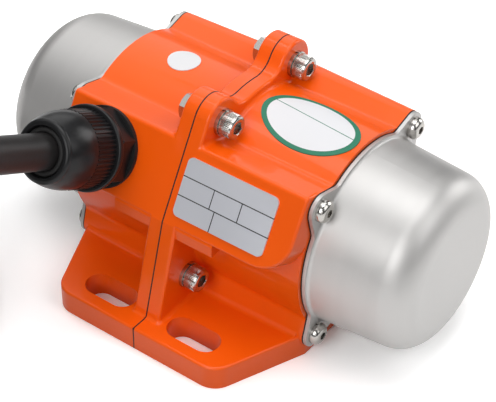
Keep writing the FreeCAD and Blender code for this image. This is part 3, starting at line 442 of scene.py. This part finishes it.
def add_bump(tree, shader, height, strength, distance):
    """Bump of a height, led into the shader's normal."""
    bump = tree.nodes.new("ShaderNodeBump")
    bump.inputs["Strength"].default_value = strength
    bump.inputs["Distance"].default_value = distance
    tree.links.new(height, bump.inputs["Height"])
    tree.links.new(bump.outputs[0], shader.inputs["Normal"])


def add_mix(tree, factor, dark, light, target):
    """Blend of two colours by a changing factor, led into a colour socket."""
    mix = tree.nodes.new("ShaderNodeMix")
    mix.data_type = "RGBA"
    mix.inputs["A"].default_value = (*dark, 1)
    mix.inputs["B"].default_value = (*light, 1)
    tree.links.new(factor, mix.inputs["Factor"])
    tree.links.new(mix.outputs["Result"], target)


def add_range(tree, source, low, high, target):
    """Spread a 0 to 1 value over a range, led into a value socket."""
    span = tree.nodes.new("ShaderNodeMapRange")
    span.inputs["To Min"].default_value = low
    span.inputs["To Max"].default_value = high
    tree.links.new(source, span.inputs["Value"])
    tree.links.new(span.outputs["Result"], target)


# %% [markdown]
# Orange machine paint sits on a rough casting. It flows out glossy but keeps an orange-peel
# texture about a millimetre and a half across, and its colour deepens slightly in patches.

# %% Orange paint
def orange_paint():
    material, tree, shader, place = new_finish("orange_machine_paint", 0.0, 0.3)
    grain = add_group(tree, grain_group, place, {"Grains per metre": 620, "Patches per metre": 22})
    add_mix(tree, grain.outputs["Patch"], (0.80, 0.086, 0.001), (0.93, 0.113, 0.002),
            shader.inputs["Base Color"])
    add_range(tree, grain.outputs["Patch"], 0.28, 0.40, shader.inputs["Roughness"])
    add_bump(tree, shader, grain.outputs["Height"], 0.16, 0.00025)
    shader.inputs["Specular IOR Level"].default_value = 0.2
    shader.inputs["Coat Weight"].default_value = 0.3
    shader.inputs["Coat Roughness"].default_value = 0.07
    return material


# %% [markdown]
# The caps are stainless sheet drawn over a die and lightly brushed in a lathe. Satin steel is a
# metal with a middling roughness, and its fine rings only break the reflection up a little.

# %% Metals
def satin_steel(name, colour, roughness, rings, depth):
    material, tree, shader, place = new_finish(name, 1.0, roughness)
    marks = add_group(tree, marks_group, place, {"Rings per metre": rings, "Waver": 14})
    dark = tuple(0.87 * c for c in colour)
    add_mix(tree, marks.outputs["Streak"], dark, colour, shader.inputs["Base Color"])
    add_range(tree, marks.outputs["Streak"], roughness * 0.85, roughness * 1.15,
              shader.inputs["Roughness"])
    add_bump(tree, shader, marks.outputs["Height"], depth, 0.00005)
    return material


def plain_metal(name, colour, roughness, grains, depth):
    material, tree, shader, place = new_finish(name, 1.0, roughness)
    grain = add_group(tree, grain_group, place,
                      {"Grains per metre": grains, "Patches per metre": 120})
    dark = tuple(0.8 * c for c in colour)
    add_mix(tree, grain.outputs["Patch"], dark, colour, shader.inputs["Base Color"])
    add_range(tree, grain.outputs["Patch"], roughness * 0.8, roughness * 1.25,
              shader.inputs["Roughness"])
    add_bump(tree, shader, grain.outputs["Height"], depth, 0.00008)
    return material


# %% [markdown]
# Nylon, rubber and film are non-metals that differ in gloss and grain. One function covers them,
# because only the numbers change.

# %% Plastics and rubber
def moulded(name, dark, light, roughness, grains, depth):
    material, tree, shader, place = new_finish(name, 0.0, roughness)
    grain = add_group(tree, grain_group, place,
                      {"Grains per metre": grains, "Patches per metre": 60})
    add_mix(tree, grain.outputs["Patch"], dark, light, shader.inputs["Base Color"])
    add_range(tree, grain.outputs["Patch"], roughness * 0.85, roughness * 1.2,
              shader.inputs["Roughness"])
    add_bump(tree, shader, grain.outputs["Height"], depth, 0.00015)
    shader.inputs["Specular IOR Level"].default_value = 0.3
    return material


paint = orange_paint()
cap_steel = satin_steel("drawn_cap_steel", (0.57, 0.56, 0.55), 0.51, 3000, 0.08)
screw_steel = plain_metal("stainless_screw_steel", (0.56, 0.54, 0.51), 0.2, 2500, 0.08)
core_steel = plain_metal("lamination_steel", (0.33, 0.34, 0.36), 0.42, 2000, 0.2)
ground_steel = plain_metal("ground_steel", (0.55, 0.55, 0.56), 0.3, 3000, 0.1)
copper = plain_metal("enamelled_copper", (0.60, 0.22, 0.09), 0.35, 1200, 0.4)
cage_alloy = plain_metal("cast_cage_alloy", (0.66, 0.66, 0.68), 0.45, 1200, 0.3)
tin = plain_metal("tinned_ferrule", (0.78, 0.78, 0.76), 0.25, 2000, 0.1)
nylon = moulded("black_nylon", (0.006, 0.006, 0.0065), (0.012, 0.012, 0.013), 0.3, 900, 0.12)
sheath = moulded("rubber_sheath", (0.009, 0.008, 0.008), (0.019, 0.017, 0.017), 0.45, 1500, 0.3)
gasket = moulded("gasket_rubber", (0.008, 0.008, 0.008), (0.016, 0.015, 0.015), 0.6, 1500, 0.2)
blue_cover = moulded("blue_core_cover", (0.01, 0.06, 0.35), (0.015, 0.08, 0.42), 0.4, 1200, 0.1)
brown_cover = moulded("brown_core_cover", (0.11, 0.03, 0.012), (0.14, 0.04, 0.015), 0.4, 1200, 0.1)
earth_cover = moulded("green_core_cover", (0.05, 0.28, 0.03), (0.08, 0.34, 0.04), 0.4, 1200, 0.1)

# %% [markdown]
# The plate on the pad is printed aluminium. Its words belong to one product and are left off, so
# only its ruled lines remain. The lines are drawn by the material, from the point's place along
# the shaft and down the slope of the pad.

# %% Ruled plate
pad_tilt = math.radians(29)
plate_middle = 20.2 * MM
plate_half_height = 10.0 * MM
line_half_width = 0.17 * MM
upper_rule, lower_rule = 3.4 * MM, -3.1 * MM
middle_posts, lower_post = (-5.2 * MM, 5.6 * MM), -3.0 * MM


def line_mask(tree, source, at, half_width):
    """1 where a coordinate is within half a line's width of a value."""
    node = tree.nodes.new("ShaderNodeMath")
    node.operation = "COMPARE"
    node.inputs[1].default_value = at
    node.inputs[2].default_value = half_width
    tree.links.new(source, node.inputs[0])
    return node.outputs[0]


def combine(tree, operation, first, second):
    """Two masks made one, kept between 0 and 1."""
    node = tree.nodes.new("ShaderNodeMath")
    node.operation = operation
    node.use_clamp = True
    tree.links.new(first, node.inputs[0])
    tree.links.new(second, node.inputs[1])
    return node.outputs[0]


def band_mask(tree, source, low, high):
    """1 where a coordinate lies between two values."""
    return line_mask(tree, source, (low + high) / 2, (high - low) / 2)


def ruled_plate():
    material, tree, shader, place = new_finish("ruled_plate", 0.55, 0.36)
    turn = tree.nodes.new("ShaderNodeMapping")
    turn.inputs["Location"].default_value = (-plate_middle, 0, 0)
    turn.inputs["Rotation"].default_value = (pad_tilt, 0, 0)
    split = tree.nodes.new("ShaderNodeSeparateXYZ")
    tree.links.new(place.outputs["Object"], turn.inputs["Vector"])
    tree.links.new(turn.outputs[0], split.inputs[0])
    along, down = split.outputs["X"], split.outputs["Z"]
    upper, lower = plate_level + upper_rule, plate_level + lower_rule
    lines = combine(tree, "ADD", line_mask(tree, down, upper, line_half_width),
                    line_mask(tree, down, lower, line_half_width))
    between = band_mask(tree, down, lower, upper)
    below = band_mask(tree, down, plate_level - plate_half_height, lower)
    posts = combine(tree, "ADD", line_mask(tree, along, middle_posts[0], line_half_width),
                    line_mask(tree, along, middle_posts[1], line_half_width))
    lines = combine(tree, "ADD", lines, combine(tree, "MULTIPLY", posts, between))
    post = line_mask(tree, along, lower_post, line_half_width)
    lines = combine(tree, "ADD", lines, combine(tree, "MULTIPLY", post, below))
    add_mix(tree, lines, (0.70, 0.71, 0.76), (0.018, 0.018, 0.022), shader.inputs["Base Color"])
    grain = add_group(tree, grain_group, place, {"Grains per metre": 3000, "Patches per metre": 40})
    add_range(tree, grain.outputs["Patch"], 0.3, 0.42, shader.inputs["Roughness"])
    add_bump(tree, shader, grain.outputs["Height"], 0.05, 0.00004)
    return material


def plate_middle_level():
    """Height of the plate's middle in the turned coordinates of its material."""
    low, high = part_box("rating_plate")
    y, z = (low.y + high.y) / 2, (low.z + high.z) / 2
    return y * math.sin(pad_tilt) + z * math.cos(pad_tilt)


plate_level = plate_middle_level()
plate_finish = ruled_plate()
print("plate level:", round(plate_level / MM, 2), "mm")

# %% [markdown]
# The oval label on the barrel is white film with a green rim and one thin rule. Its words are left
# off. The rim comes from the distance to the edge of an ellipse, measured in the label's own turned
# axes. The small round label is plain white.

# %% Labels
label_centre = (26.6 * MM, -1.6 * MM)
label_radii = (18.2 * MM, 11.8 * MM)
label_turn = math.radians(-5)
label_rim = 0.885
rule_level, rule_half_width = 2.0 * MM, 0.16 * MM


def oval_film():
    material, tree, shader, place = new_finish("green_rimmed_film", 0.0, 0.3)
    shift = tree.nodes.new("ShaderNodeMapping")
    shift.inputs["Location"].default_value = (-label_centre[0], -label_centre[1], 0)
    turn = tree.nodes.new("ShaderNodeMapping")
    turn.inputs["Rotation"].default_value = (0, 0, -label_turn)
    turn.inputs["Scale"].default_value = (1, 1, 0)
    fit = tree.nodes.new("ShaderNodeMapping")
    fit.inputs["Scale"].default_value = (1 / label_radii[0], 1 / label_radii[1], 0)
    size = tree.nodes.new("ShaderNodeVectorMath")
    size.operation = "LENGTH"
    rim = tree.nodes.new("ShaderNodeMath")
    rim.operation = "GREATER_THAN"
    rim.inputs[1].default_value = label_rim
    split = tree.nodes.new("ShaderNodeSeparateXYZ")
    links = tree.links
    links.new(place.outputs["Object"], shift.inputs["Vector"])
    links.new(shift.outputs[0], turn.inputs["Vector"])
    links.new(turn.outputs[0], fit.inputs["Vector"])
    links.new(fit.outputs[0], size.inputs[0])
    links.new(size.outputs["Value"], rim.inputs[0])
    links.new(turn.outputs[0], split.inputs[0])
    rule = line_mask(tree, split.outputs["Y"], rule_level, rule_half_width)
    marks = combine(tree, "MAXIMUM", rim.outputs[0], rule)
    add_mix(tree, marks, (0.67, 0.67, 0.69), (0.0, 0.16, 0.085), shader.inputs["Base Color"])
    grain = add_group(tree, grain_group, place, {"Grains per metre": 800, "Patches per metre": 60})
    add_range(tree, grain.outputs["Patch"], 0.42, 0.55, shader.inputs["Roughness"])
    add_bump(tree, shader, grain.outputs["Height"], 0.06, 0.0001)
    return material


oval_finish = oval_film()
white_film = moulded("white_film", (0.64, 0.64, 0.66), (0.69, 0.69, 0.70), 0.48, 800, 0.06)

# %% [markdown]
# A solid from the imported model keeps its shape and only changes its finish, which is simply put
# into its first material slot.

# %% Finishes of the solids
finishes = {
    paint: ["housing_left", "housing_right"],
    cap_steel: ["end_cap_left", "end_cap_right"],
    gasket: ["split_gasket", "cap_gasket_left", "cap_gasket_right", "gland_washer", "gland_seal"],
    screw_steel: ["cap_screws", "cap_screw_washers", "flange_bolts", "flange_nuts",
                  "flange_bolt_washers", "shaft_circlips", "clamp_screw_left", "clamp_screw_right"],
    core_steel: ["stator_core", "rotor_core"],
    copper: ["stator_windings"],
    cage_alloy: ["rotor_cage"],
    ground_steel: ["shaft", "weight_keys", "weight_spacers", "fixed_weight_left",
                   "fixed_weight_right", "adjustable_weight_left", "adjustable_weight_right",
                   "bearing_outer_races", "bearing_inner_races", "bearing_balls", "bearing_cages"],
    plate_finish: ["rating_plate"],
    oval_finish: ["oval_label"],
    white_film: ["round_label"],
    nylon: ["gland_body", "gland_nut", "cable_tie"],
    sheath: ["cable", "cable_coil"],
    brown_cover: ["lead_wires", "cable_cores"],
    tin: ["core_ferrules"],
}
for finish, names in finishes.items():
    for name in names:
        nodes[name].data.materials.clear()
        nodes[name].data.materials.append(finish)
lead.data.materials.append(sheath)
for core, cover in zip(cores, (earth_cover, blue_cover, brown_cover)):
    core.data.materials.append(cover)
dressed = {name for names in finishes.values() for name in names}
print("finishes:", len(finishes), "left out:", sorted(set(nodes) - dressed))

# %% [markdown]
# Shapes that repeat are made with Geometry Nodes: one small shape, a count and a place for each
# copy. Two trees are enough here. One sets ribs in a ring round an axis, for a knurled grip. The
# other puts a copy of one finished shape on every point of a mesh, for a set of equal screws.

# %% Node trees for what repeats
def node_tree(name, inputs):
    """Empty geometry tree with named inputs after the geometry."""
    tree = bpy.data.node_groups.new(name, "GeometryNodeTree")
    tree.interface.new_socket("Geometry", in_out="INPUT", socket_type="NodeSocketGeometry")
    for label, kind in inputs:
        tree.interface.new_socket(label, in_out="INPUT", socket_type=kind)
    tree.interface.new_socket("Geometry", in_out="OUTPUT", socket_type="NodeSocketGeometry")
    return tree, tree.nodes.new("NodeGroupInput"), tree.nodes.new("NodeGroupOutput")


def ribbed_ring_tree():
    """Adds a ring of ribs about Z to the shape it is given."""
    tree, start, end = node_tree("ribbed_ring",
                                 [("Rib", "NodeSocketObject"), ("Ribs", "NodeSocketInt"),
                                  ("Finish", "NodeSocketMaterial")])
    ring = tree.nodes.new("GeometryNodeMeshLine")
    ring.inputs["Offset"].default_value = (0, 0, 0)
    number = tree.nodes.new("GeometryNodeInputIndex")
    share = tree.nodes.new("ShaderNodeMath")
    share.operation = "DIVIDE"
    angle = tree.nodes.new("ShaderNodeMath")
    angle.operation = "MULTIPLY"
    angle.inputs[1].default_value = 2 * math.pi
    turn = tree.nodes.new("ShaderNodeCombineXYZ")
    rib = tree.nodes.new("GeometryNodeObjectInfo")
    copies = tree.nodes.new("GeometryNodeInstanceOnPoints")
    join = tree.nodes.new("GeometryNodeJoinGeometry")
    real = tree.nodes.new("GeometryNodeRealizeInstances")
    finish = tree.nodes.new("GeometryNodeSetMaterial")
    links = tree.links
    links.new(start.outputs["Ribs"], ring.inputs["Count"])
    links.new(number.outputs[0], share.inputs[0])
    links.new(start.outputs["Ribs"], share.inputs[1])
    links.new(share.outputs[0], angle.inputs[0])
    links.new(angle.outputs[0], turn.inputs["Z"])
    links.new(start.outputs["Rib"], rib.inputs["Object"])
    links.new(ring.outputs["Mesh"], copies.inputs["Points"])
    links.new(rib.outputs["Geometry"], copies.inputs["Instance"])
    links.new(turn.outputs[0], copies.inputs["Rotation"])
    links.new(copies.outputs["Instances"], join.inputs["Geometry"])
    links.new(start.outputs["Geometry"], join.inputs["Geometry"])
    links.new(join.outputs["Geometry"], real.inputs["Geometry"])
    links.new(real.outputs["Geometry"], finish.inputs["Geometry"])
    links.new(start.outputs["Finish"], finish.inputs["Material"])
    links.new(finish.outputs["Geometry"], end.inputs["Geometry"])
    return tree


def copies_tree():
    """Puts a copy of one object on every point and gives all of them one finish."""
    tree, start, end = node_tree("copies_on_points",
                                 [("Copy", "NodeSocketObject"), ("Finish", "NodeSocketMaterial")])
    shape = tree.nodes.new("GeometryNodeObjectInfo")
    copies = tree.nodes.new("GeometryNodeInstanceOnPoints")
    real = tree.nodes.new("GeometryNodeRealizeInstances")
    finish = tree.nodes.new("GeometryNodeSetMaterial")
    links = tree.links
    links.new(start.outputs["Copy"], shape.inputs["Object"])
    links.new(start.outputs["Finish"], finish.inputs["Material"])
    links.new(start.outputs["Geometry"], copies.inputs["Points"])
    links.new(shape.outputs["Geometry"], copies.inputs["Instance"])
    links.new(copies.outputs["Instances"], real.inputs["Geometry"])
    links.new(real.outputs["Geometry"], finish.inputs["Geometry"])
    links.new(finish.outputs["Geometry"], end.inputs["Geometry"])
    return tree


def grown(name, base, tree, values):
    """Plain mesh that a tree makes from a base mesh, as a new object."""
    host = bpy.data.objects.new(name + "_host", base)
    bpy.context.scene.collection.objects.link(host)
    growth = host.modifiers.new("growth", "NODES")
    growth.node_group = tree
    sockets = {item.name: item.identifier for item in tree.interface.items_tree
               if item.item_type == "SOCKET" and item.in_out == "INPUT"}
    for label, value in values.items():
        growth[sockets[label]] = value
    bpy.context.view_layer.update()
    seen = host.evaluated_get(bpy.context.evaluated_depsgraph_get())
    mesh = bpy.data.meshes.new_from_object(seen)
    mesh.name = name
    bpy.data.objects.remove(host)
    piece = bpy.data.objects.new(name, mesh)
    bpy.context.scene.collection.objects.link(piece)
    return piece


rib_tree = ribbed_ring_tree()
copy_tree = copies_tree()
print("trees:", rib_tree.name, copy_tree.name)

# %% [markdown]
# A socket-head screw is turned, so its body is a stack of rings about one axis: shank, underside,
# knurled wall, rounded rim and the hexagon that is pressed into its top. The same function makes
# round and six-sided rings, because a hexagon is only a radius that changes with the angle.

# %% Socket-head screws of the flange
ring_points = 48
flange_half = 5.25 * MM
washer_height = 1.2 * MM
screw_seat = flange_half + washer_height
screw_tip, thread_end = -10.45 * MM, -5.5 * MM
thread_root, thread_crest, thread_pitch = 2.15 * MM, 2.5 * MM, 0.8 * MM
thread_chamfer = 0.3 * MM
head_height = 5.0 * MM
knurl_ribs = 56
rib_half_width = 0.18 * MM
bolt_circle = 41.6 * MM
bolt_angles = (61.4, -21.2)
# The radii of the head and its ribs are in millimetres, as its rings are written.
head_wall = 4.08
socket_half = 2.0
rib_root, rib_foot, rib_lift = 4.03, 4.09, 0.099


def ring_radius(size, kind, angle):
    """Radius at an angle of a round ring, or of a hexagon given by half its width."""
    if kind == "round":
        return size
    sixth = math.radians(60)
    return size / math.cos((angle % sixth) - sixth / 2)


def stack_of_rings(name, rings, points=ring_points):
    """Closed shape about Z through rings given as (height, size, kind)."""
    corners = []
    for height, size, kind in rings:
        for i in range(points):
            angle = 2 * math.pi * i / points
            reach = ring_radius(size, kind, angle)
            corners.append((reach * math.cos(angle), reach * math.sin(angle), height))
    faces = []
    for low in range(len(rings) - 1):
        for i in range(points):
            after = (i + 1) % points
            faces.append((low * points + i, low * points + after,
                          (low + 1) * points + after, (low + 1) * points + i))
    top = (len(rings) - 1) * points
    faces.append(tuple(reversed(range(points))))
    faces.append(tuple(range(top, top + points)))
    mesh = bpy.data.meshes.new(name)
    mesh.from_pydata(corners, [], faces)
    return mesh


def thread_rings(tip, end, root, crest, pitch):
    """Rings that rise and fall once a pitch, after a chamfer at the tip."""
    rings = [(tip, root * 0.9, "round"), (tip + thread_chamfer, root, "round")]
    height = tip + thread_chamfer
    while height + pitch < end:
        rings += [(height + 0.35 * pitch, crest, "round"), (height + 0.5 * pitch, crest, "round"),
                  (height + 0.85 * pitch, root, "round"), (height + pitch, root, "round")]
        height += pitch
    return rings


def screw_rings():
    """Rings of one screw, from the tip of its thread to the floor of its hexagon."""
    top = screw_seat + head_height
    shank = thread_rings(screw_tip, thread_end, thread_root, thread_crest, thread_pitch)
    head = [(screw_seat, 2.5, "round"), (screw_seat, 3.9, "round"),
            (screw_seat + 0.2 * MM, head_wall, "round"), (top - 0.75 * MM, head_wall, "round"),
            (top - 0.35 * MM, 3.95, "round"), (top - 0.08 * MM, 3.6, "round"),
            (top, 3.3, "round"), (top, 2.45, "round"),
            (top - 0.25 * MM, socket_half, "hex"), (top - 2.5 * MM, socket_half, "hex")]
    return shank + [(height, size * MM, kind) for height, size, kind in head]


def knurl_rib():
    """One ridge of the knurled wall, a low wedge at an angle of zero."""
    low, high = screw_seat + 0.35 * MM, screw_seat + head_height - 0.85 * MM
    run_out = 0.15 * MM
    half = rib_half_width
    corners = []
    for height, lift in ((low, 0), (low + run_out, rib_lift),
                         (high - run_out, rib_lift), (high, 0)):
        root, ridge = rib_root * MM, (rib_foot + lift) * MM
        corners += [(root, -half, height), (ridge, -0.25 * half, height),
                    (ridge, 0.25 * half, height), (root, half, height)]
    faces = [(4 * k + i, 4 * k + i + 1, 4 * k + i + 5, 4 * k + i + 4)
             for k in range(3) for i in range(3)]
    faces += [(3, 2, 1, 0), (12, 13, 14, 15)]
    faces += [(4 * k + 3, 4 * k, 4 * k + 4, 4 * k + 7) for k in range(3)]
    mesh = bpy.data.meshes.new("knurl_rib")
    mesh.from_pydata(corners, [], faces)
    piece = bpy.data.objects.new("knurl_rib", mesh)
    bpy.context.scene.collection.objects.link(piece)
    return piece


def bolt_points():
    """Middle of each flange bolt on the split, as points of one mesh."""
    places = []
    for angle in bolt_angles:
        rise = math.radians(angle)
        for side in (-1, 1):
            places.append((0, side * bolt_circle * math.cos(rise),
                           shaft_height + bolt_circle * math.sin(rise)))
    mesh = bpy.data.meshes.new("bolt_points")
    mesh.from_pydata(places, [], [])
    return mesh


rib = knurl_rib()
one_screw = grown("one_screw", stack_of_rings("screw_body", screw_rings()), rib_tree,
                  {"Rib": rib, "Ribs": knurl_ribs, "Finish": screw_steel})
one_screw.data.transform(Matrix.Rotation(math.radians(90), 4, "Y"))
knurled_screws = grown("knurled_flange_screws", bolt_points(), copy_tree,
                       {"Copy": one_screw, "Finish": screw_steel})
for helper in (rib, one_screw):
    bpy.data.objects.remove(helper)
knurled_screws.data.set_sharp_from_angle(angle=math.radians(32))
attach(knurled_screws, "motor")
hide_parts("flange_bolts")
print("screws:", len(knurled_screws.data.polygons), "faces")

# %% [markdown]
# The gland's seal is squeezed round the cable when its nut is tightened, and shows as a soft black
# lip in the nut's mouth. A lip is a closed profile, turned about the cable's axis.

# %% Seal lip in the gland's mouth
def turned_ring(name, profile, points=ring_points):
    """Closed ring about Z, from a profile of (radius, height) that runs clockwise."""
    corners, faces = [], []
    count = len(profile)
    for i in range(points):
        angle = 2 * math.pi * i / points
        after = (i + 1) % points
        corners += [(r * math.cos(angle), r * math.sin(angle), h) for r, h in profile]
        for k in range(count):
            n = (k + 1) % count
            faces.append((i * count + k, i * count + n, after * count + n, after * count + k))
    mesh = bpy.data.meshes.new(name)
    mesh.from_pydata(corners, [], faces)
    mesh.shade_smooth()
    return mesh


# The nut ends this far from the body, and the profile is in millimetres from there.
nut_mouth = 32.4 * MM
lip_profile = [(6.04, -3.0), (6.04, -0.8), (6.25, -0.5), (6.8, -0.38), (7.4, -0.5), (7.85, -0.95),
               (7.55, -1.8), (7.02, -3.0)]
lip_mesh = turned_ring("seal_lip", [(r * MM, h * MM) for r, h in lip_profile])
lip_mesh.transform(Matrix.Translation(gland_face + gland_axis * nut_mouth)
                   @ gland_axis.to_track_quat("Z", "Y").to_matrix().to_4x4())
lip_mesh.materials.append(gasket)
seal_lip = bpy.data.objects.new("seal_lip", lip_mesh)
bpy.context.scene.collection.objects.link(seal_lip)
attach(seal_lip, "motor")
print("seal lip:", len(lip_mesh.polygons), "faces")
